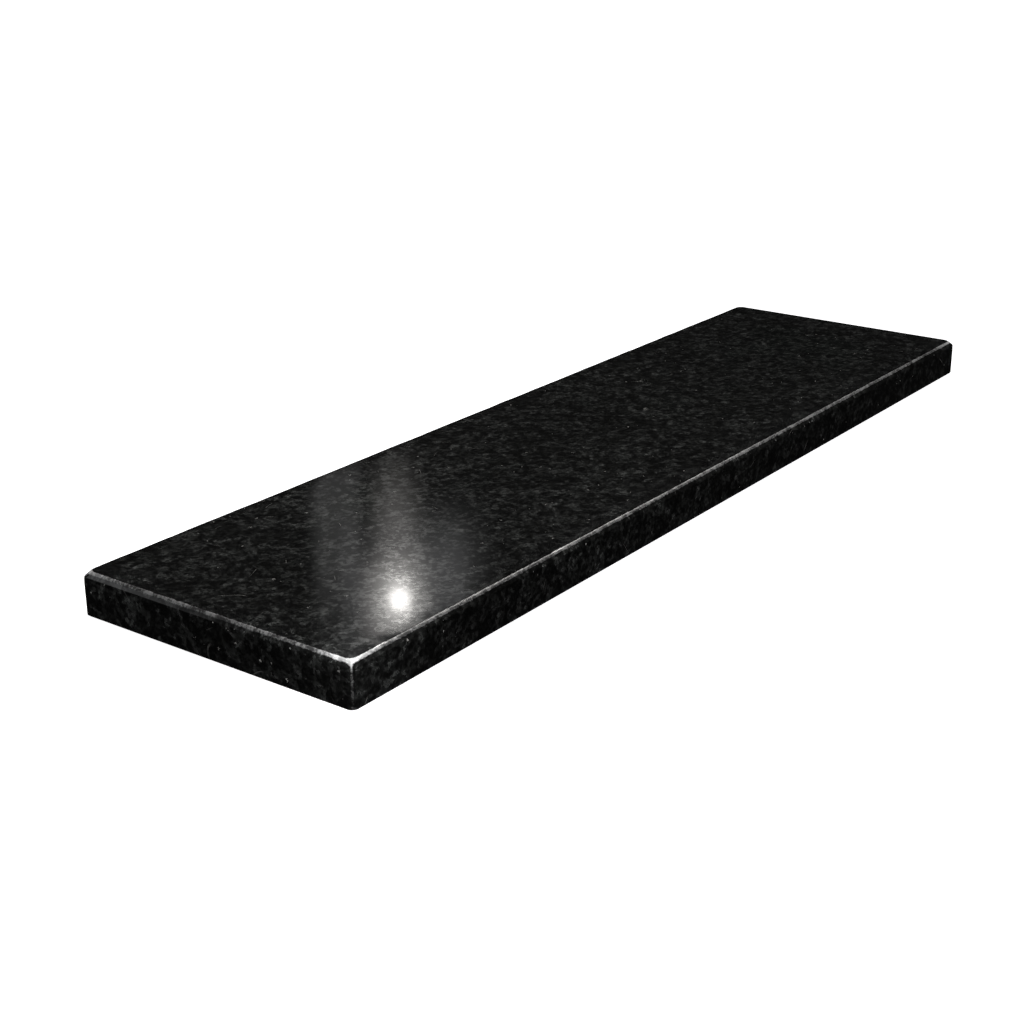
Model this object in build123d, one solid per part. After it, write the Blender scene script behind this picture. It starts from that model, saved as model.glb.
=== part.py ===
"""Granite slab: a bench block of black granite that leather is stamped and tooled on.

The slab is solid stone and comes from the saw in one piece, so it is one node with no joints.
It lies flat: X runs along its length, Y across its width and Z up. The origin is the middle of
the underside, where the slab rests on the bench.
"""

from build123d import *
import os

# Driving dimensions, in millimetres.
SLAB_LENGTH = 550.0
SLAB_WIDTH = 150.0
SLAB_THICKNESS = 20.0  # the trade's common "2 cm" stock

CORNER_RADIUS = 3.0  # the four upright corners, rounded by hand
TOP_BEVEL = 2.5  # the 45 degree bevel all round the working face
CORNER_DUB = 4.2  # how far down an upright corner its small sloping facet reaches
UNDERSIDE_ARRIS = 0.4  # the bottom edge keeps the saw's line, with only its sharpness taken off

DIAGONAL = 2.0**0.5


def sawn_blank():
    """The bar as it leaves the saw and the polisher, with its upright corners already rounded."""
    with BuildPart() as blank:
        with BuildSketch():
            RectangleRounded(SLAB_LENGTH, SLAB_WIDTH, CORNER_RADIUS)
        extrude(amount=SLAB_THICKNESS)
    return blank.part


def eased_edges(blank):
    """Bevels the working face's rim and just breaks the edge of the underside."""
    working_face = blank.faces().sort_by(Axis.Z)[-1]
    eased = chamfer(working_face.edges(), TOP_BEVEL)
    underside = eased.faces().sort_by(Axis.Z)[0]
    return chamfer(underside.edges(), UNDERSIDE_ARRIS)


def corner_cutter(side_x, side_y):
    """A block whose underside is the sloping facet of one top corner, at 45 degrees to the top."""
    # The rounded corner's outermost point, halfway round its arc.
    arc_inset = CORNER_RADIUS * (1.0 - 1.0 / DIAGONAL)
    outermost = Vector(
        side_x * (SLAB_LENGTH / 2 - arc_inset),
        side_y * (SLAB_WIDTH / 2 - arc_inset),
        SLAB_THICKNESS - CORNER_DUB,
    )
    slope = Vector(side_x / DIAGONAL, side_y / DIAGONAL, 1.0)
    facet = Plane(origin=outermost, z_dir=slope)
    block = 4 * CORNER_DUB
    return facet * Box(block, block, block, align=(Align.CENTER, Align.CENTER, Align.MIN))


def granite_slab():
    slab = eased_edges(sawn_blank())
    for side_x in (-1, 1):
        for side_y in (-1, 1):
            slab = slab - corner_cutter(side_x, side_y)
    return slab


slab = granite_slab()
size = slab.bounding_box().size
print(f"granite_slab: {size.X:.2f} x {size.Y:.2f} x {size.Z:.2f} mm, {slab.volume / 1e6:.4f} litres")

os.makedirs("parts", exist_ok=True)
export_step(slab, "parts/granite_slab.step")
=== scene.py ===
# %% [markdown]
# # A granite slab for tooling leather
#
# The object is one bar of black granite, 550 mm long, 150 mm wide and 20 mm thick. Leather is laid
# on its polished face and stamped with a mallet. There is nothing to assemble, so the whole lesson
# is about the stone: a shape that was sawn, bevelled and rubbed by hand, and four finishes that the
# same stone takes when it is polished, ground, sawn or broken.
#
# Every length is in metres. `MM` turns the millimetres that a mason would say into metres.

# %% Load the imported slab
import math
import random

import bmesh
import bpy
from mathutils import Matrix, Vector


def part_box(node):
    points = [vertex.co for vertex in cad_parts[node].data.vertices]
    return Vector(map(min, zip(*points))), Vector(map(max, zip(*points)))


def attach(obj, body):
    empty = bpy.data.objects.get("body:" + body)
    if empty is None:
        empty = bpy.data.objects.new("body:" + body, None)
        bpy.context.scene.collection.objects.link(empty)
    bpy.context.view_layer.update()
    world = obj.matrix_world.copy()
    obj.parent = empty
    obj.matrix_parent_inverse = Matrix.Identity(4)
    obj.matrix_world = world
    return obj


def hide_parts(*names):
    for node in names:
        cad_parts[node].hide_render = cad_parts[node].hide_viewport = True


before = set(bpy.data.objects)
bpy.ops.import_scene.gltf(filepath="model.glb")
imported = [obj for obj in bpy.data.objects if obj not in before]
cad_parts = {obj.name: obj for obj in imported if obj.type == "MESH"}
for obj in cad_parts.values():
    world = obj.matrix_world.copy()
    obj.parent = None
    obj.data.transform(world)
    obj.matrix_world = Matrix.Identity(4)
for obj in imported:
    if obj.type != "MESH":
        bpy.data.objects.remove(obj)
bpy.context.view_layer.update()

MM = 0.001
low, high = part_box("granite_slab")
LENGTH, WIDTH, THICKNESS = high - low
print(f"slab {LENGTH / MM:.0f} x {WIDTH / MM:.0f} x {THICKNESS / MM:.0f} mm")


# %% [markdown]
# ## Small helpers for modelling
#
# An operator works on everything that is selected, and the loaded slab arrives selected. So each
# step starts by letting go of everything, and then picks points, edges or faces by a rule about
# where they are. A rule is a function that is given one of them and answers yes or no, which is
# what the eye does in the viewport.

# %% Helpers that select by place
def let_go():
    bpy.ops.object.select_all(action="DESELECT")


def edit(piece):
    """Leaves everything else, and opens the piece in edit mode."""
    let_go()
    bpy.context.view_layer.objects.active = piece
    piece.select_set(True)
    bpy.ops.object.mode_set(mode="EDIT")


def pick(piece, part, rule):
    """Selects the verts, edges or faces that pass the rule."""
    modes = {"verts": "VERT", "edges": "EDGE", "faces": "FACE"}
    bpy.ops.mesh.select_mode(type=modes[part])
    bpy.ops.mesh.select_all(action="DESELECT")
    shape = bmesh.from_edit_mesh(piece.data)
    for item in getattr(shape, part):
        if rule(item):
            item.select_set(True)
    shape.select_flush_mode()
    bmesh.update_edit_mesh(piece.data)


# %% [markdown]
# ## The shape as a stack of outlines
#
# A cube with a Bevel modifier gives one width of bevel everywhere. A real slab is different at its
# corners: the hand pad turns there and takes off more, so the outline of the polished face has
# rounder corners than the outline of the underside. The shape is therefore built as a boat is
# lofted, from level outlines at chosen depths. Each is a rectangle with rounded corners, and it has
# its own inset and its own corner radius.
#
# Seen in section, the rim is a bevel, a little steeper than 45 degrees, between two soft arrises.
# An arris is the line where two worked faces meet, and here each one is part of a circle that runs
# tangent into both faces.

# %% Work out the section of the rim
BEVEL_INSET = 2.0 * MM
BEVEL_DEPTH = 2.5 * MM
ARRIS_RADIUS = 1.1 * MM
ARRIS_STEPS = 4
UNDERSIDE_ARRIS = 0.4 * MM

lean = math.atan2(BEVEL_INSET, BEVEL_DEPTH)  # of the bevel, from upright
side_top = BEVEL_DEPTH + ARRIS_RADIUS * math.tan(lean / 2)
flat_inset = BEVEL_INSET + ARRIS_RADIUS * math.tan((math.pi / 2 - lean) / 2)


def arris_turn(whole, step):
    """How far the surface has left the first face, and gone along it, after that many steps."""
    turn = whole * step / ARRIS_STEPS
    return ARRIS_RADIUS * (1 - math.cos(turn)), ARRIS_RADIUS * math.sin(turn)


section = []  # pairs of inset and depth, from the side face up to the polished face
for step in range(ARRIS_STEPS + 1):
    away, along = arris_turn(lean, step)
    section.append((away, side_top - along))
for step in reversed(range(ARRIS_STEPS + 1)):
    away, along = arris_turn(math.pi / 2 - lean, step)
    section.append((flat_inset - along, away))
print("section of the rim, mm:", [(round(i / MM, 2), round(d / MM, 2)) for i, d in section])

# %% [markdown]
# The corner radius grows from the upright edge to the polished face. The square in the formula
# makes it grow slowly at first, so that the rubbed corner melts into the upright edge without a
# line.

# %% Work out each outline
UPRIGHT_RADIUS = 3.0 * MM
FACE_RADIUS = 3.8 * MM
RUB_DEPTH = 6.0 * MM
RUB_LEVELS = 5


def corner_radius(depth):
    rubbed = max(0.0, 1 - depth / RUB_DEPTH)
    return UPRIGHT_RADIUS + (FACE_RADIUS - UPRIGHT_RADIUS) * rubbed**2


rub_depths = [RUB_DEPTH + (side_top - RUB_DEPTH) * level / RUB_LEVELS for level in range(RUB_LEVELS)]
levels = [(UNDERSIDE_ARRIS, THICKNESS), (0.0, THICKNESS - UNDERSIDE_ARRIS)]
levels += [(0.0, depth) for depth in rub_depths] + section
print("outlines:", len(levels))

# %% [markdown]
# Each outline starts as a plane of the right size at the right height. A bevel of its four points
# rounds the corners, always with the same number of steps, so every outline has the same number of
# points and the bridge operator can join each to the next with clean four-sided faces.

# %% Lay the outlines
CORNER_STEPS = 14


def lay_outline(inset, depth):
    let_go()
    bpy.ops.mesh.primitive_plane_add(size=1, location=(0, 0, THICKNESS - depth))
    outline = bpy.context.object
    outline.scale = (LENGTH - 2 * inset, WIDTH - 2 * inset, 1)
    bpy.ops.object.transform_apply(location=True, rotation=True, scale=True)
    bpy.ops.object.mode_set(mode="EDIT")
    bpy.ops.mesh.select_all(action="SELECT")
    bpy.ops.mesh.bevel(offset=corner_radius(depth), segments=CORNER_STEPS, affect="VERTICES")
    bpy.ops.mesh.delete(type="ONLY_FACE")
    bpy.ops.object.mode_set(mode="OBJECT")
    return outline


outlines = [lay_outline(inset, depth) for inset, depth in levels]
let_go()
for outline in outlines:
    outline.select_set(True)
slab = outlines[0]
bpy.context.view_layer.objects.active = slab
bpy.ops.object.join()
slab.name = slab.data.name = "granite_slab_stone"
print("points:", len(slab.data.vertices))

# %% Bridge each outline to the next
TOUCH = 0.001 * MM  # heights closer than this are the same


def on_outlines(*heights):
    """A rule for the edges that lie level at those heights."""
    return lambda edge: all(min(abs(v.co.z - z) for z in heights) < TOUCH for v in edge.verts)


edit(slab)
heights = [THICKNESS - depth for _, depth in levels]
for lower, upper in zip(heights, heights[1:]):
    pick(slab, "edges", on_outlines(lower, upper))
    bpy.ops.mesh.bridge_edge_loops()
print("walls:", len(bmesh.from_edit_mesh(slab.data).faces), "faces")

# %% [markdown]
# Two faces close it, the polished one and the sawn one. Then a cut every few millimetres along the
# length and the width gives the rim the points that the hand work needs, because an edge with no
# points along it can only be dead straight.

# %% Close the top and the underside, and cut a grid
GRID = 5 * MM


def is_open_at(height):
    return lambda edge: edge.is_boundary and all(abs(v.co.z - height) < TOUCH for v in edge.verts)


for height in (0.0, THICKNESS):
    pick(slab, "edges", is_open_at(height))
    bpy.ops.mesh.edge_face_add()


def cut_across(axis, size):
    """Parallel cuts, one every GRID, that keep clear of the rounded corners."""
    reach = size / 2 - FACE_RADIUS - flat_inset
    count = int(reach / GRID)
    for number in range(-count, count + 1):
        bpy.ops.mesh.select_all(action="SELECT")
        bpy.ops.mesh.bisect(plane_co=axis * number * GRID, plane_no=axis)


cut_across(Vector((1, 0, 0)), LENGTH)
cut_across(Vector((0, 1, 0)), WIDTH)
bpy.ops.mesh.select_all(action="SELECT")
bpy.ops.mesh.normals_make_consistent(inside=False)
print("slab:", len(bmesh.from_edit_mesh(slab.data).faces), "faces")
bpy.ops.object.mode_set(mode="OBJECT")


# %% [markdown]
# ## Hand-made edges
#
# A bevel rubbed by hand wanders by a tenth of a millimetre or two. Moving its points one by one
# would take long and look nervous. Instead they get a vertex group, and a Displace modifier moves
# only them, by a smooth cloud pattern as long as a pad stroke. The group's weight keeps the two
# flat faces perfectly flat, which matters: a polished face shows the smallest dent as a bent
# reflection.

# %% Let the bevel wander
WANDER = 0.35 * MM
STROKE = 14 * MM
FLAT = 0.02 * MM


def on_the_bevel(vert):
    depth = THICKNESS - vert.co.z
    return FLAT < depth < RUB_DEPTH


worked = slab.vertex_groups.new(name="worked_edge")
for vert in slab.data.vertices:
    if on_the_bevel(vert):
        share = min(1.0, (RUB_DEPTH - THICKNESS + vert.co.z) / BEVEL_DEPTH)
        worked.add([vert.index], share, "REPLACE")

clouds = bpy.data.textures.new("pad_strokes", type="CLOUDS")
clouds.noise_scale = STROKE
clouds.noise_depth = 1

wander = slab.modifiers.new("wander", "DISPLACE")
wander.texture = clouds
wander.texture_coords = "LOCAL"
wander.direction = "NORMAL"
wander.strength = -WANDER
wander.mid_level = 0.35
wander.vertex_group = worked.name
let_go()
bpy.context.view_layer.objects.active = slab
bpy.ops.object.modifier_apply(modifier=wander.name)
print("bevel wanders over", round(WANDER / MM, 2), "mm from its lowest to its highest")


# %% [markdown]
# ## Chips
#
# Granite breaks in small shells along an edge. Each chip is cut by a little stone-like tool: an
# icosphere that is squashed, turned and roughened, and held so that only its side touches the
# arris. No two chips are alike, so the tools aren't copies: each has its own size, turn and
# roughness. Many of them just miss the rounded arris, and leave it whole there. They are joined, and
# a single Boolean takes them all out. The tools carry the slab's third material, so the fresh break
# inside each chip gets its own finish without any painting.

# %% Make the chip tools
TOOL_COUNT = 84
CHIP_RADIUS = (0.5 * MM, 1.5 * MM)
CHIP_SHRINK = (0.6, 1)
CHIP_BITE = (0.10, 0.32)  # how deep a tool goes into the stone, as a share of its radius
CHIP_SQUASH = (0.7, 1)
CHIP_ROUGHNESS = 0.12  # as a share of its radius
UPPER_SHARE = 0.3  # of the tools are at the upper arris
EDGE_MARGIN = 12 * MM
stone_luck = random.Random(11)


def along_a_side(way, side_length):
    """A place on a side, measured from its middle, and clear of the corners."""
    most = side_length / 2 - EDGE_MARGIN
    return max(-most, min(most, (way % side_length) - side_length / 2))


def chip_spot():
    """A point on the rim, and the way out of the stone there."""
    way = stone_luck.uniform(0, 2 * (LENGTH + WIDTH))
    upper = stone_luck.random() < UPPER_SHARE
    inset = BEVEL_INSET if upper else 0.0
    z = THICKNESS if upper else THICKNESS - BEVEL_DEPTH
    rise = 2.4 if upper else 1.0
    if way < 2 * LENGTH:
        side = -1 if way < LENGTH else 1
        place = Vector((along_a_side(way, LENGTH), side * (WIDTH / 2 - inset), z))
        outwards = Vector((0, side, rise))
    else:
        side = -1 if way - 2 * LENGTH < WIDTH else 1
        place = Vector((side * (LENGTH / 2 - inset), along_a_side(way, WIDTH), z))
        outwards = Vector((side, 0, rise))
    return place, outwards.normalized()


def chip_tool(number, place, outwards):
    radius = stone_luck.uniform(*CHIP_RADIUS) * stone_luck.uniform(*CHIP_SHRINK)
    bite = stone_luck.uniform(*CHIP_BITE)
    let_go()
    bpy.ops.mesh.primitive_ico_sphere_add(
        subdivisions=2,
        radius=radius,
        location=place + outwards * radius * (1 - bite),
        rotation=[stone_luck.uniform(0, math.tau) for _ in range(3)],
    )
    tool = bpy.context.object
    tool.name = f"chip_tool_{number}"
    tool.scale = (1, stone_luck.uniform(*CHIP_SQUASH), stone_luck.uniform(*CHIP_SQUASH))
    bpy.ops.object.mode_set(mode="EDIT")
    bpy.ops.mesh.select_all(action="SELECT")
    bpy.ops.transform.vertex_random(offset=radius * CHIP_ROUGHNESS, uniform=1.0, seed=number)
    bpy.ops.object.mode_set(mode="OBJECT")
    return tool


tools = [chip_tool(number, *chip_spot()) for number in range(TOOL_COUNT)]
let_go()
for tool in tools:
    tool.select_set(True)
bpy.context.view_layer.objects.active = tools[0]
bpy.ops.object.join()
chip_tools = bpy.context.object
print("chip tools:", TOOL_COUNT)


# %% [markdown]
# ## One grain for every finish
#
# Polishing, grinding and sawing change how a stone catches light, but not the stone. So its grain
# is built once, as a node group, and each finish places it with its own dark and pale colours. The
# group reads Object coordinates, which run through the solid: a crystal that is cut by the rim
# shows on both faces, as in real stone.
#
# First come helpers, because every node is added the same way: give its settings, and link or set
# its inputs.

# %% Helpers for nodes
def link_or_set(tree, socket, value):
    if isinstance(value, bpy.types.NodeSocket):
        tree.links.new(value, socket)
    else:
        socket.default_value = value


def add(tree, kind, inputs=None, **settings):
    """Adds a node, and lays the nodes of a tree out in rows as they come."""
    made = tree.nodes.new(kind)
    place = len(tree.nodes) - 1
    made.location = (220 * (place % 9), -320 * (place // 9))
    for name, value in settings.items():
        setattr(made, name, value)
    for name, value in (inputs or {}).items():
        link_or_set(tree, made.inputs[name], value)
    return made


def calc(tree, operation, *values, clamp=False):
    """The result of a Math node, from its operation and its values."""
    inputs = dict(enumerate(values))
    return add(tree, "ShaderNodeMath", inputs, operation=operation, use_clamp=clamp).outputs[0]


def product(tree, first, *others):
    for value in others:
        first = calc(tree, "MULTIPLY", first, value)
    return first


def weighed_sum(tree, parts):
    """The sum of pairs of a value and its weight."""
    total = 0.0
    for value, weight in parts:
        total = calc(tree, "MULTIPLY_ADD", value, weight, total)
    return total


def fade(tree, value, start, end, low=0.0, high=1.0):
    """Goes smoothly from low to high as value goes from start to end."""
    inputs = {"Value": value, "From Min": start, "From Max": end, "To Min": low, "To Max": high}
    return add(tree, "ShaderNodeMapRange", inputs, interpolation_type="SMOOTHSTEP").outputs["Result"]


def mix(tree, factor, first, second, kind="RGBA"):
    """Goes from the first colour or number to the second."""
    mixer = add(tree, "ShaderNodeMix", data_type=kind)
    sockets = {socket.name: socket for socket in mixer.inputs if socket.enabled}
    for name, value in {"Factor": factor, "A": first, "B": second}.items():
        link_or_set(tree, sockets[name], value)
    return next(socket for socket in mixer.outputs if socket.enabled)


def noise(tree, where, size, detail=2.0, roughness=0.5):
    """Soft blobs of about that size, around a half."""
    inputs = {"Vector": where, "Scale": 1 / size, "Detail": detail, "Roughness": roughness}
    return add(tree, "ShaderNodeTexNoise", inputs).outputs["Fac"]


# %% [markdown]
# A node group has its own inputs and outputs, which Blender keeps in the group's interface. These
# three helpers open a group, close it, and use it in another tree.

# %% Helpers for node groups
def new_group(name, inputs, outputs):
    """An empty group. An input is a name, a type and a value, and an output is a name and a type."""
    group = bpy.data.node_groups.new(name, "ShaderNodeTree")
    for title, kind, value in inputs:
        socket = group.interface.new_socket(title, in_out="INPUT", socket_type="NodeSocket" + kind)
        if value is not None:
            socket.default_value = value
    for title, kind in outputs:
        group.interface.new_socket(title, in_out="OUTPUT", socket_type="NodeSocket" + kind)
    return group, add(group, "NodeGroupInput").outputs


def close_group(group, results):
    add(group, "NodeGroupOutput", results)
    print("group", group.name, "has", len(group.nodes), "nodes")
    return group


def use_group(tree, group, inputs):
    return add(tree, "ShaderNodeGroup", inputs, node_tree=group).outputs


# %% [markdown]
# The recipe for the grain. Noise warps the coordinates a little, so that nothing has a straight
# border. Two Voronoi textures give each small and each large flake its own value, fine noise breaks
# them up, and slow noise gathers the pale ones in clumps. A power then pushes most of the sum
# towards black, because in this stone the pale flakes are the rare ones.
#
# Mixed noise alone was the other way to do it, and it gives clouds, not flakes with borders.

# %% Flakes
WARP = 0.8 * MM
SMALL_FLAKE = 1.35 * MM
LARGE_FLAKE = 3.4 * MM
CLUMP = 13 * MM


def cells(tree, where, size, feature="F1", **more):
    inputs = {"Vector": where, "Scale": 1 / size, **more}
    return add(tree, "ShaderNodeTexVoronoi", inputs, feature=feature).outputs


def channels(tree, colour):
    return add(tree, "ShaderNodeSeparateColor", {"Color": colour}).outputs


def warp(tree, where):
    """Shifts each point a little, by noise."""
    wobble = add(tree, "ShaderNodeTexNoise", {"Vector": where, "Scale": 0.7 / WARP, "Detail": 2.0})
    inputs = {0: wobble.outputs["Color"], 1: (WARP, WARP, WARP), 2: where}
    return add(tree, "ShaderNodeVectorMath", inputs, operation="MULTIPLY_ADD").outputs[0]


def flake_sum(tree, where, warped, fine):
    """How pale the stone is at a point. It is near a half almost everywhere."""
    small = channels(tree, cells(tree, warped, SMALL_FLAKE)["Color"])["Red"]
    blended = cells(tree, warped, LARGE_FLAKE, "SMOOTH_F1", Smoothness=0.38)
    large = channels(tree, blended["Color"])["Red"]
    clump = noise(tree, where, CLUMP, 3.0, 0.6)
    return weighed_sum(tree, [(small, 0.28), (large, 0.28), (fine, 0.17), (clump, 0.27)])


# %% [markdown]
# Two rarer things lie in it. A glint is painted highlight: a speck of pale colour that stands for
# the light that a mirror-like crystal a millimetre or so across catches. A Voronoi cell is a point
# in space, and the stone shows it only where the surface passes close to that point. Most glints are
# faint, and the power on their luck sees to that. A hairline is a thin pale stroke, the line where a
# slow noise passes through a half, kept only where another noise is high.

# %% Glints and hairlines
GLINT_SPACING = 4.5 * MM
GLINT_RADIUS = (0.06, 0.21)  # as a share of the spacing
HAIRLINE_CURL = 42 * MM
HAIRLINE_WIDTH = 0.0022  # as a share of the whole swing of the noise


# Glints are painted highlight: pale specks of colour for light caught by mirror-like crystals.
def glint_mask(tree, warped, fine, share):
    nearest = cells(tree, warped, GLINT_SPACING)
    luck = channels(tree, nearest["Color"])
    radius = fade(tree, luck["Green"], 0.0, 1.0, *GLINT_RADIUS)
    chipped = calc(tree, "MULTIPLY", radius, fade(tree, fine, 0.40, 0.62))
    inside = fade(tree, calc(tree, "SUBTRACT", nearest["Distance"], chipped), 0.02, -0.02)
    chosen = calc(tree, "LESS_THAN", luck["Red"], share)
    shine = calc(tree, "POWER", luck["Blue"], 2.0)
    return product(tree, inside, chosen, shine)


def hairline_mask(tree, where, fine, strength):
    swing = noise(tree, where, HAIRLINE_CURL, 1.0, 0.4)
    off_line = calc(tree, "ABSOLUTE", calc(tree, "SUBTRACT", swing, 0.5))
    line = fade(tree, off_line, HAIRLINE_WIDTH, 0.0)
    patch = fade(tree, noise(tree, where, 0.25 * HAIRLINE_CURL, 1.0), 0.58, 0.70)
    return product(tree, line, patch, fine, strength)


# %% [markdown]
# The group joins them. It also puts out the sum itself, as Flake, so that a finish can make the
# pale flakes shinier or rougher than the dark ground.

# %% Build the grain
FINE = 0.8 * MM


def build_grain():
    group, given = new_group(
        "granite_grain",
        [
            ("Vector", "Vector", None),
            ("Dark", "Color", (0.004, 0.004, 0.004, 1)),
            ("Pale", "Color", (0.05, 0.05, 0.05, 1)),
            ("Glint", "Color", (0.3, 0.3, 0.3, 1)),
            ("Contrast", "Float", 4.0),
            ("Glint Share", "Float", 0.3),
            ("Hairlines", "Float", 0.5),
        ],
        [("Color", "Color"), ("Flake", "Float")],
    )
    where = given["Vector"]
    warped = warp(group, where)
    fine = noise(group, where, FINE, 3.0, 0.6)
    total = flake_sum(group, where, warped, fine)
    paleness = calc(group, "POWER", total, given["Contrast"], clamp=True)
    flakes = mix(group, paleness, given["Dark"], given["Pale"])
    glint = glint_mask(group, warped, fine, given["Glint Share"])
    hairline = hairline_mask(group, where, fine, given["Hairlines"])
    rare = calc(group, "MAXIMUM", glint, hairline)
    # The Glint colour paints the pale hairlines, and the glints, which are painted highlight.
    colour = mix(group, rare, flakes, given["Glint"])
    return close_group(group, {"Color": colour, "Flake": total})


grain = build_grain()

# %% [markdown]
# ## Where on the rim
#
# The rim is ground, not polished, and it shows as a pale band. A finish can only know where it is
# from coordinates, so a second group measures three distances at every point: how deep below the
# polished face, how far in from the outline, and how far round from the middle of the nearest
# corner. A painted mask would do it too, but it needs a picture, and this follows the slab to any
# size.
#
# The first is one subtraction. The second is the usual distance to a rectangle with rounded
# corners. The third is the difference between the insets from the end and from the side, because in
# the middle of a corner they are equal.

# %% Build the rim measures
def build_rim_place():
    group, given = new_group(
        "rim_place",
        [("Vector", "Vector", None)],
        [("Depth", "Float"), ("Inset", "Float"), ("Round Corner", "Float")],
    )
    axes = add(group, "ShaderNodeSeparateXYZ", {"Vector": given["Vector"]}).outputs
    from_end = calc(group, "SUBTRACT", LENGTH / 2, calc(group, "ABSOLUTE", axes["X"]))
    from_side = calc(group, "SUBTRACT", WIDTH / 2, calc(group, "ABSOLUTE", axes["Y"]))
    depth = calc(group, "SUBTRACT", THICKNESS, axes["Z"])

    plan_radius = FACE_RADIUS + flat_inset
    over_end = calc(group, "SUBTRACT", plan_radius, from_end)
    over_side = calc(group, "SUBTRACT", plan_radius, from_side)
    beyond = [calc(group, "MAXIMUM", over, 0.0) for over in (over_end, over_side)]
    squares = [calc(group, "POWER", reach, 2.0) for reach in beyond]
    in_corner = calc(group, "SQRT", calc(group, "ADD", *squares))
    elsewhere = calc(group, "MINIMUM", calc(group, "MAXIMUM", over_end, over_side), 0.0)
    inset = calc(group, "SUBTRACT", calc(group, "SUBTRACT", plan_radius, in_corner), elsewhere)

    unequal = calc(group, "ABSOLUTE", calc(group, "SUBTRACT", from_end, from_side))
    round_corner = calc(group, "DIVIDE", unequal, math.sqrt(2))
    return close_group(group, {"Depth": depth, "Inset": inset, "Round Corner": round_corner})


rim_place = build_rim_place()

# %% [markdown]
# ## Grit
#
# A polished face has lost the scratches of the saw. The other finishes keep some relief, and it
# differs only in size and height. This group gives that relief in metres, and each finish hands it
# to its own Bump node.

# %% Build the grit
def build_grit():
    group, given = new_group(
        "grit",
        [("Vector", "Vector", None), ("Per Metre", "Float", 1000.0), ("Height", "Float", 0.0001)],
        [("Relief", "Float")],
    )
    inputs = {"Vector": given["Vector"], "Scale": given["Per Metre"], "Detail": 3.0, "Roughness": 0.6}
    rough = add(group, "ShaderNodeTexNoise", inputs).outputs["Fac"]
    return close_group(group, {"Relief": calc(group, "MULTIPLY", rough, given["Height"])})


grit = build_grit()


# %% [markdown]
# Each finish is a material with one Principled shader. The groups give it colours and values, and
# the shader itself stays outside them.

# %% Helpers for a finish
def new_finish(name):
    """A material with one Principled shader, its tree, its shader and the place in the stone."""
    made = bpy.data.materials.new(name)
    made.use_nodes = True
    tree = made.node_tree
    tree.nodes.clear()
    shader = add(tree, "ShaderNodeBsdfPrincipled", {"IOR": 1.52})
    add(tree, "ShaderNodeOutputMaterial", {"Surface": shader.outputs[0]})
    where = add(tree, "ShaderNodeTexCoord").outputs["Object"]
    return made, tree, shader, where


def close_finish(made):
    print("finish", made.name, "has", len(made.node_tree.nodes), "nodes")
    return made


def grey(level, tint=(1.0, 1.0, 1.0)):
    return (*(level * share for share in tint), 1.0)


def stone(tree, where, dark, pale, glint, contrast, share, hairlines=0.5):
    """The grain with its own colours, as light greys with a breath of green in the flakes. The warm
    Glint grey colours the hairlines, and the glints, which are painted highlight.
    """
    return use_group(
        tree,
        grain,
        {
            "Vector": where,
            "Dark": grey(dark),
            "Pale": grey(pale, (0.96, 1.0, 0.97)),
            "Glint": grey(glint, (1.0, 0.98, 0.94)),
            "Contrast": contrast,
            "Glint Share": share,
            "Hairlines": hairlines,
        },
    )


def crumbs(tree, where, size, height):
    """Relief of loose grains of about that size."""
    return use_group(tree, grit, {"Vector": where, "Per Metre": 1 / size, "Height": height})["Relief"]


def set_relief(tree, shader, height):
    bump = add(tree, "ShaderNodeBump", {"Height": height, "Distance": 1.0})
    link_or_set(tree, shader.inputs["Normal"], bump.outputs["Normal"])


# %% [markdown]
# ## The polished face and its ground rim
#
# The polished stone is nearly black and nearly a mirror, and the ground stone is the same grain
# with a much paler range and no shine. They are one material, mixed by a mask, because the border
# between them is ragged: it follows the hand and the crystals, and no row of mesh edges would.
#
# The pale flakes mirror more light than the black stone round them, as mica does. That is why the
# grain shows even in the haze of a lamp's reflection. A coat of a higher index, laid on the flakes
# alone, gives the same.
#
# The mask is a small landscape of distances. It is below zero where the pad has been: above the
# lower border and outside the inner border. It is below zero too in a thin line down each corner,
# which is painted reflection: a pale, rough line that stands for the light the rounded upright
# corner reflects, and fades downwards as that reflection does. A smooth minimum joins the band to
# the corner line with a little funnel of painted highlight, where the bevel turns into the corner.

# %% Mask the ground rim and the painted corner reflection
BAND_DEPTH = 1.0 * MM
BAND_INSET = 2.4 * MM
CORNER_REFLECTION_LINE = 0.45 * MM
HIGHLIGHT_FUNNEL = 2.6 * MM
RAGGED = 0.4 * MM
BORDER = 0.25 * MM


def ground_and_reflection_mask(tree, where, at):
    coarse = noise(tree, where, 5 * MM, 2.0)
    fine = noise(tree, where, 1.2 * MM, 3.0, 0.6)
    rag = weighed_sum(tree, [(coarse, RAGGED), (fine, 1.8 * RAGGED), (-1.4 * RAGGED, 1.0)])
    below = calc(tree, "SUBTRACT", at["Depth"], BAND_DEPTH)
    # The corner line is painted reflection, for the light the rounded upright corner reflects.
    beside = calc(tree, "SUBTRACT", at["Round Corner"], CORNER_REFLECTION_LINE)
    outside = calc(tree, "SMOOTH_MIN", below, beside, HIGHLIGHT_FUNNEL)
    inside = calc(tree, "SUBTRACT", at["Inset"], BAND_INSET)
    field = calc(tree, "ADD", calc(tree, "MAXIMUM", outside, inside), rag)
    mask = fade(tree, field, BORDER, -BORDER)
    # The corner line fades downwards, as the reflection that it paints does.
    reflection_fades_down = fade(tree, at["Depth"], BAND_DEPTH, THICKNESS, 1.0, 0.3)
    reflection_soon_faint = fade(tree, at["Depth"], BAND_DEPTH, 1.8 * BEVEL_DEPTH, 1.0, 0.45)
    return product(tree, reflection_fades_down, reflection_soon_faint, mask)


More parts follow.
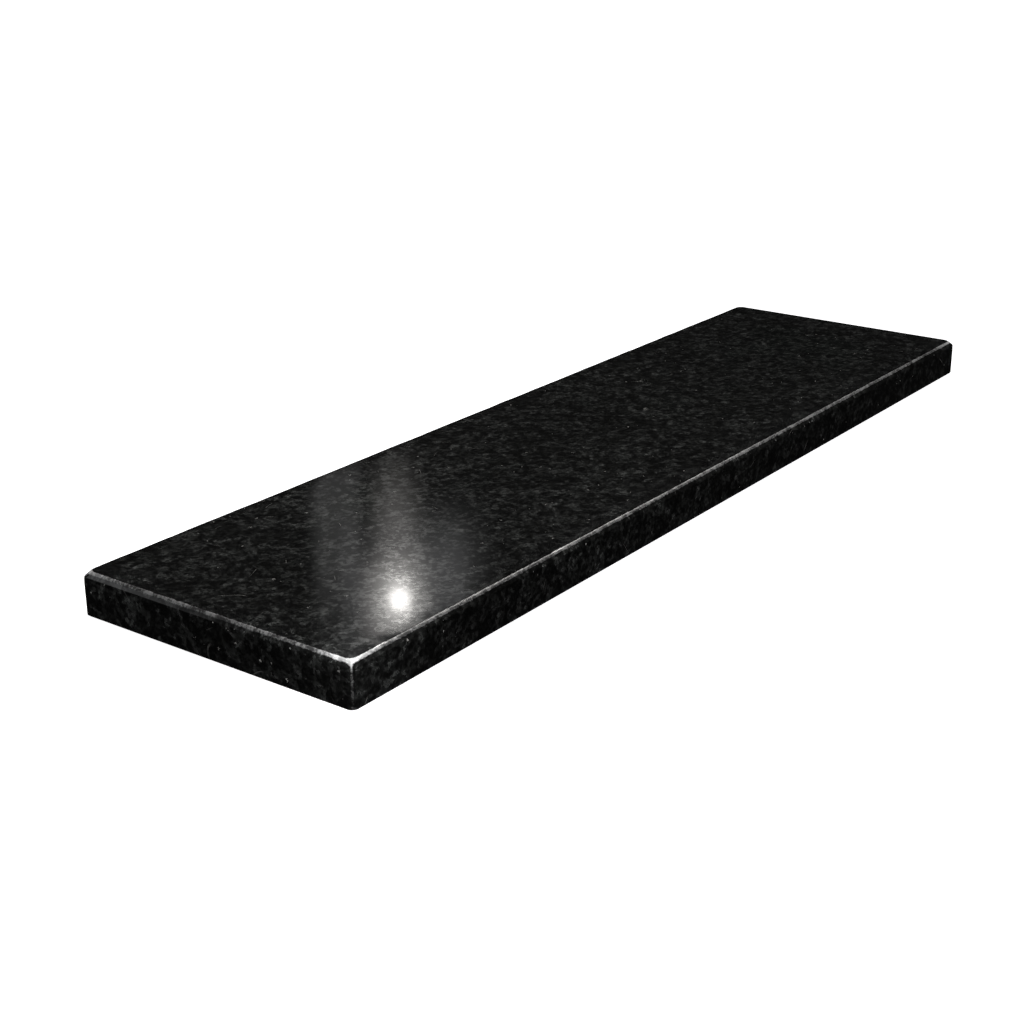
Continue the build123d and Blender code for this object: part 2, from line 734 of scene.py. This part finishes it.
# %% [markdown]
# Ground stone is mottled, because the pad tears some crystals out and leaves others. It is palest
# at the tips of the corners, partly from wear, where the pad turned and everything that touches the
# slab rubs it, and partly from painted highlight, which stands for the light that the rounded corner
# catches. The side faces also have a few faint upright strokes, stretched by a Mapping node whose
# small Z scale makes the noise long in that direction.

# %% Colour the ground rim and the scuffs
CORNER_WEAR_AND_HIGHLIGHT = 14 * MM
WEAR_AND_HIGHLIGHT_DEPTH = 4 * MM
CRUMB = 0.9 * MM
SCUFF_WIDTH = 1.1 * MM
SCUFF_STRENGTH = 0.22


def ground_colour(tree, where, flake, at):
    """Pale and mottled by the flakes and by torn crumbs, and palest at the corners from wear and
    painted highlight.
    """
    torn = noise(tree, where, CRUMB, 3.0, 0.7)
    mottle = weighed_sum(tree, [(flake, 0.5), (torn, 0.5)])
    by_the_corner = fade(tree, at["Round Corner"], CORNER_WEAR_AND_HIGHLIGHT, 0.0)
    near_the_top = fade(tree, at["Depth"], WEAR_AND_HIGHLIGHT_DEPTH, BAND_DEPTH)
    # The corners' paleness is partly wear and partly painted highlight.
    worn_and_highlit = product(tree, by_the_corner, near_the_top)
    dark = mix(tree, worn_and_highlit, grey(0.04), grey(0.34))
    pale = mix(tree, worn_and_highlit, grey(0.29), grey(0.80))
    return mix(tree, fade(tree, mottle, 0.41, 0.62), dark, pale)


def side_scuffs(tree, where, at):
    """Faint upright strokes on the side faces, most of them just below the bevel."""
    upright = add(tree, "ShaderNodeMapping", {"Vector": where, "Scale": (1.0, 1.0, 0.16)}).outputs[0]
    strokes = fade(tree, noise(tree, upright, SCUFF_WIDTH, 2.0), 0.67, 0.76)
    near_rim = fade(tree, at["Depth"], 0.6 * THICKNESS, BAND_DEPTH)
    on_sides = fade(tree, at["Inset"], 0.6 * MM, 0.1 * MM)
    return product(tree, near_rim, on_sides, strokes, SCUFF_STRENGTH)


# %% [markdown]
# The polish itself is one shader. Its roughness changes a little from flake to flake and from
# smudge to smudge, and its bump has two kinds of relief: a long low ripple in the polish, and
# crumbs where it is ground.

# %% Build the polished finish
SMUDGE = 40 * MM
RIPPLE = 30 * MM
RIPPLE_HEIGHT = 0.008 * MM


def polished_granite():
    material, tree, shader, where = new_finish("polished_granite")
    at = use_group(tree, rim_place, {"Vector": where})
    polished = stone(
        tree, where, dark=0.0034, pale=0.25, glint=0.6, contrast=5.3, share=0.24, hairlines=0.35
    )
    flake = polished["Flake"]
    # This mask holds the ground band and the painted reflection down each corner.
    mask = ground_and_reflection_mask(tree, where, at)
    pale = calc(tree, "MAXIMUM", mask, side_scuffs(tree, where, at))
    colour = mix(tree, pale, polished["Color"], ground_colour(tree, where, flake, at))
    link_or_set(tree, shader.inputs["Base Color"], colour)

    mica = fade(tree, flake, 0.42, 0.66, 0.0, 0.46)
    link_or_set(tree, shader.inputs["Coat Weight"], mix(tree, mask, mica, 0.0, "FLOAT"))
    shader.inputs["Coat IOR"].default_value = 1.6
    shader.inputs["Coat Roughness"].default_value = 0.07

    smudge = fade(tree, noise(tree, where, SMUDGE, 4.0, 0.6), 0.35, 0.65, 0.0, 0.012)
    polish = calc(tree, "ADD", fade(tree, flake, 0.40, 0.70, 0.052, 0.080), smudge)
    link_or_set(tree, shader.inputs["Roughness"], mix(tree, mask, polish, 0.45, "FLOAT"))

    ripple = calc(tree, "MULTIPLY", noise(tree, where, RIPPLE, 1.0), RIPPLE_HEIGHT)
    torn = crumbs(tree, where, 0.7 * MM, 0.10 * MM)
    set_relief(tree, shader, mix(tree, mask, ripple, torn, "FLOAT"))
    return close_finish(material)


polished_finish = polished_granite()

# %% [markdown]
# ## The sawn underside and the broken chips
#
# Nobody polishes a face that lies on the bench. The frame saw leaves straight, slightly uneven
# lines across it. They are far too low to be worth geometry, so a Wave texture draws them in the
# bump and in the roughness.

# %% Build the sawn finish
SAW_LINE = 1.8 * MM
LINES_PER_UNIT = 6.3  # in a Wave texture of scale 1, dark and pale lines counted


def sawn_granite():
    material, tree, shader, where = new_finish("sawn_granite")
    sawn = stone(tree, where, dark=0.035, pale=0.30, glint=0.45, contrast=2.4, share=0.5)
    inputs = {"Vector": where, "Scale": 1 / (LINES_PER_UNIT * SAW_LINE)}
    inputs |= {"Distortion": 1.2, "Detail": 3.0, "Detail Scale": 0.2}
    lines = add(tree, "ShaderNodeTexWave", inputs, bands_direction="X").outputs["Fac"]
    patches = noise(tree, where, 30 * MM, 3.0)
    marks = calc(tree, "MULTIPLY", lines, fade(tree, patches, 0.3, 0.7, 0.3, 1.0))
    dusty = mix(tree, calc(tree, "MULTIPLY", marks, 0.35), sawn["Color"], grey(0.30))
    link_or_set(tree, shader.inputs["Base Color"], dusty)
    link_or_set(tree, shader.inputs["Roughness"], fade(tree, marks, 0.0, 1.0, 0.58, 0.74))
    torn = crumbs(tree, where, 0.6 * MM, 0.05 * MM)
    set_relief(tree, shader, calc(tree, "MULTIPLY_ADD", marks, 0.06 * MM, torn))
    return close_finish(material)


sawn_finish = sawn_granite()

# %% [markdown]
# A chip shows the inside of the stone: every crystal has split along its own plane, so it is paler
# and coarser than any worked face. It is the same grain again, with less contrast and more painted
# glints.

# %% Build the broken finish
def broken_granite():
    material, tree, shader, where = new_finish("broken_granite")
    fresh = stone(tree, where, dark=0.05, pale=0.5, glint=0.7, contrast=1.8, share=0.8)
    link_or_set(tree, shader.inputs["Base Color"], fresh["Color"])
    link_or_set(tree, shader.inputs["Roughness"], fade(tree, fresh["Flake"], 0.2, 0.8, 0.45, 0.7))
    set_relief(tree, shader, crumbs(tree, where, 0.5 * MM, 0.15 * MM))
    return close_finish(material)


broken_finish = broken_granite()

# %% [markdown]
# The slab and the chip tools get the same three slots in the same order, so that the numbers still
# mean the same after the cut. The face that looks down is sawn, every face of a tool is broken, and
# the rest is polished.

# %% Give out the finishes
finishes = [polished_finish, sawn_finish, broken_finish]
POLISHED, SAWN, BROKEN = range(3)


def looks_down(face):
    return face.normal.z < -0.9


for piece in (slab, chip_tools):
    piece.data.materials.clear()
    for finish in finishes:
        piece.data.materials.append(finish)
for face in slab.data.polygons:
    face.material_index = SAWN if looks_down(face) else POLISHED
for face in chip_tools.data.polygons:
    face.material_index = BROKEN
print("finishes:", [finish.name for finish in finishes])

# %% [markdown]
# ## Take the chips out
#
# The Boolean keeps the tool's material on the faces that it leaves, which is why the tools were
# given theirs first. Smoothing by angle then keeps the chips crisp and the arrises round, and
# weighted normals keep the big flat faces from being shaded by the tiny faces next to them.

# %% Cut, then smooth
cut = slab.modifiers.new("chips", "BOOLEAN")
cut.operation = "DIFFERENCE"
cut.solver = "EXACT"
cut.object = chip_tools
let_go()
bpy.context.view_layer.objects.active = slab
slab.select_set(True)
bpy.ops.object.modifier_apply(modifier=cut.name)
bpy.data.objects.remove(chip_tools)

bpy.ops.object.shade_smooth_by_angle(angle=math.radians(30))
weigh = slab.modifiers.new("weigh", "WEIGHTED_NORMAL")
weigh.keep_sharp = True
weigh.weight = 100
bpy.ops.object.modifier_apply(modifier=weigh.name)

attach(slab, "root")
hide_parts("granite_slab")
broken_faces = sum(face.material_index == BROKEN for face in slab.data.polygons)
print("finished slab:", len(slab.data.polygons), "faces,", broken_faces, "of them in chips")

# %% [markdown]
# ## Floor and room
#
# A black polished stone is a picture of its room, so the room is mostly dark and the stage mostly
# white. The floor is pale paper with a little glow, and no ray that bounces off the stone sees it.
# The world is three worlds, chosen by the kind of ray: white for the camera, soft grey for soft
# light, and nearly black for reflections. The soft grey is darker below the horizon, so that the
# side faces stay darker than the top.

# %% Lay the floor
PAPER_GLOW = 0.9
let_go()
bpy.ops.mesh.primitive_plane_add(size=60, location=(0, 0, -0.02 * MM))
floor = bpy.context.object
floor.name = "studio_floor"
paper, tree, shader, _ = new_finish("pale_paper")
shader.inputs["Base Color"].default_value = grey(0.8)
shader.inputs["Roughness"].default_value = 0.9
shader.inputs["Specular IOR Level"].default_value = 0.0
shader.inputs["Emission Color"].default_value = grey(1.0)
shader.inputs["Emission Strength"].default_value = PAPER_GLOW
floor.data.materials.append(paper)
floor.visible_glossy = False
floor.visible_diffuse = False
print("floor at", round(floor.location.z / MM, 2), "mm")

# %% Light the room
SEEN, SOFT, MIRRORED = 1.0, 0.42, 0.006
BELOW = 0.6  # how bright the soft grey is under the horizon, as a share
world = bpy.data.worlds.new("studio")
bpy.context.scene.world = world
world.use_nodes = True
tree = world.node_tree
tree.nodes.clear()
path = add(tree, "ShaderNodeLightPath").outputs
direction = add(tree, "ShaderNodeTexCoord").outputs["Generated"]
upwards = add(tree, "ShaderNodeSeparateXYZ", {"Vector": direction}).outputs["Z"]
overhead = fade(tree, upwards, -0.15, 0.15, BELOW * SOFT, SOFT)
seen, soft, mirrored = (
    add(tree, "ShaderNodeBackground", {"Color": grey(1.0), "Strength": strength}).outputs[0]
    for strength in (SEEN, overhead, MIRRORED)
)
bounced = add(tree, "ShaderNodeMixShader", {0: path["Is Glossy Ray"], 1: soft, 2: mirrored})
whole = add(tree, "ShaderNodeMixShader", {0: path["Is Camera Ray"], 1: bounced.outputs[0], 2: seen})
add(tree, "ShaderNodeOutputWorld", {"Surface": whole.outputs[0]})
print("world: seen", SEEN, "soft", SOFT, "mirrored", MIRRORED)

# %% [markdown]
# ## Camera
#
# A longish lens from under a metre, turned round the slab and a little above it. Three directions
# describe it: back, from the slab to the camera, then right and up as the camera sees them. The
# camera stands back along the first and is moved a little along the other two, which frames the
# slab without turning the view.

# %% Place the camera
AZIMUTH = math.radians(-53.37)
ELEVATION = math.radians(20.987)
ROLL = math.radians(-0.309)
DISTANCE = 0.8888
SIDE_STEP = -0.04461
RISE = -0.02092
LENS_MM = 60.70

out_x, out_y = math.sin(AZIMUTH), -math.cos(AZIMUTH)
back = Vector((out_x * math.cos(ELEVATION), out_y * math.cos(ELEVATION), math.sin(ELEVATION)))
right = Vector((math.cos(AZIMUTH), math.sin(AZIMUTH), 0))
up = back.cross(right)

lens = bpy.data.cameras.new("camera")
lens.sensor_width = 36
lens.lens = LENS_MM
lens.clip_start = 0.01
lens.clip_end = 100
camera = bpy.data.objects.new("camera", lens)
bpy.context.scene.collection.objects.link(camera)
camera.location = back * DISTANCE + right * SIDE_STEP + up * RISE
facing = Matrix((right, up, back)).transposed() @ Matrix.Rotation(ROLL, 3, "Z")
camera.rotation_euler = facing.to_euler()
bpy.context.scene.camera = camera
bpy.context.scene.view_settings.view_transform = "Standard"
print("camera at", [round(value, 3) for value in camera.location])

# %% [markdown]
# ## Lights
#
# Each light is an area light with a feather: its glow is full in the middle and fades to nothing at
# its rim, as a real softbox does. Without the feather a mirror finish would show a hard rectangle.
# The lights are named for what they do in the reflection, and aimed by two angles, how far left of
# the view and how high.

# %% Helper for feathered lights
PANEL_DISTANCE = 3.0
spot_on_top = Vector((-0.225, -0.04, THICKNESS))


def towards(leftwards, upwards):
    """The direction that many degrees left of the way the camera looks, and above level."""
    forward = Vector((-out_x, -out_y, 0))
    turn, rise = math.radians(leftwards), math.radians(upwards)
    level = forward * math.cos(turn) - right * math.sin(turn)
    return level * math.cos(rise) + Vector((0, 0, math.sin(rise)))


def feathered(name, stand, aim, size, glow, feather=(1.0, 1.0), tint=(1, 1, 1), spread=180):
    """An area light. Glow is the brightness of its middle, and feather the share that fades out."""
    light = bpy.data.lights.new(name, "AREA")
    light.shape = "RECTANGLE"
    light.size, light.size_y = size
    light.energy = glow * 4 * light.size * light.size_y
    light.color = tint
    light.spread = math.radians(spread)
    light.use_nodes = True
    tree = light.node_tree
    tree.nodes.clear()
    across = add(tree, "ShaderNodeNewGeometry").outputs["Parametric"]
    axes = add(tree, "ShaderNodeSeparateXYZ", {"Vector": across}).outputs
    fades = []
    for axis, share in zip("XY", feather):
        off_middle = calc(tree, "ABSOLUTE", calc(tree, "MULTIPLY_ADD", axes[axis], 2.0, -1.0))
        fades.append(fade(tree, off_middle, 1.0, 1.0 - share))
    emit = add(tree, "ShaderNodeEmission", {"Strength": calc(tree, "MULTIPLY", *fades)})
    add(tree, "ShaderNodeOutputLight", {"Surface": emit.outputs[0]})
    lamp = bpy.data.objects.new(name, light)
    bpy.context.scene.collection.objects.link(lamp)
    lamp.visible_camera = False
    lamp.location = stand
    lamp.rotation_euler = (Vector(aim) - Vector(stand)).to_track_quat("-Z", "Y").to_euler()
    return lamp


def in_mirror(name, leftwards, upwards, degrees, glow, feather=(1.0, 1.0), tint=(1, 1, 1)):
    """A light that the polished face reflects. Its size is in degrees."""
    size = [2 * PANEL_DISTANCE * math.tan(math.radians(angle) / 2) for angle in degrees]
    stand = spot_on_top + towards(leftwards, upwards) * PANEL_DISTANCE
    return feathered(name, stand, spot_on_top, size, glow, feather, tint)


# %% [markdown]
# One bulb with its glow is the bright spot on the polish. The two strips are the streaks that lead
# away from it, and the window and the veil are the faint grey over the near end of the slab.

# %% Hang the lights that the face mirrors
WARM = (1.0, 0.975, 0.94)
COOL = (0.98, 0.99, 1.0)
in_mirror("bulb", 3.82, 23.82, (1.25, 0.92), 13.0, (0.85, 0.85), WARM)
in_mirror("bulb_glow", 3.95, 24.05, (3.6, 4.8), 1.9, tint=WARM)
in_mirror("tall_strip", 3.90, 21.6, (2.9, 9.0), 0.36, tint=WARM)
in_mirror("thin_strip", 6.45, 21.0, (2.6, 10.0), 0.13, (0.6, 0.7))
in_mirror("window", 3.6, 24.5, (5.6, 10.0), 0.12, (0.2, 0.9), COOL)
in_mirror("veil", 1.9, 22.8, (5.2, 7.0), 0.19, tint=COOL)

# %% [markdown]
# Two soft boxes stand far to the left and right, where this camera never sees them. From the other
# sides of the slab they lie in its mirror, and show there too that the face is polished.

# %% Hang the soft boxes for the other sides
in_mirror("left_softbox", 86, 20, (20, 26), 0.5, (0.8, 0.5), COOL)
in_mirror("right_softbox", -93, 17, (20, 24), 0.4, (0.8, 0.5), COOL)

# %% [markdown]
# The pale rim needs light of its own. The key hangs high behind the slab, to the right, with a
# narrow beam. From there it reaches the top and the long side's bevel, and neither of the two side
# faces. A small lamp close above the near corner picks out its tip, which is pale from wear and
# from painted highlight. It is kept out of reflections, because from low down the bevel would show
# it as a white bar.

# %% Hang the lights that shape the rim
near_corner = Vector((-LENGTH / 2, -WIDTH / 2, THICKNESS))
key_stand = near_corner + Vector((0.68, 0.06, 0.73)) * 1.6
feathered("key", key_stand, near_corner, (0.8, 0.8), 0.85, (0.6, 0.6), WARM, spread=36)
tip_stand = near_corner + Vector((-0.157, -0.349, 0.923)) * 80 * MM
tip_light = feathered("tip_light", tip_stand, near_corner, (0.03, 0.03), 17.0, spread=62)
tip_light.visible_glossy = False
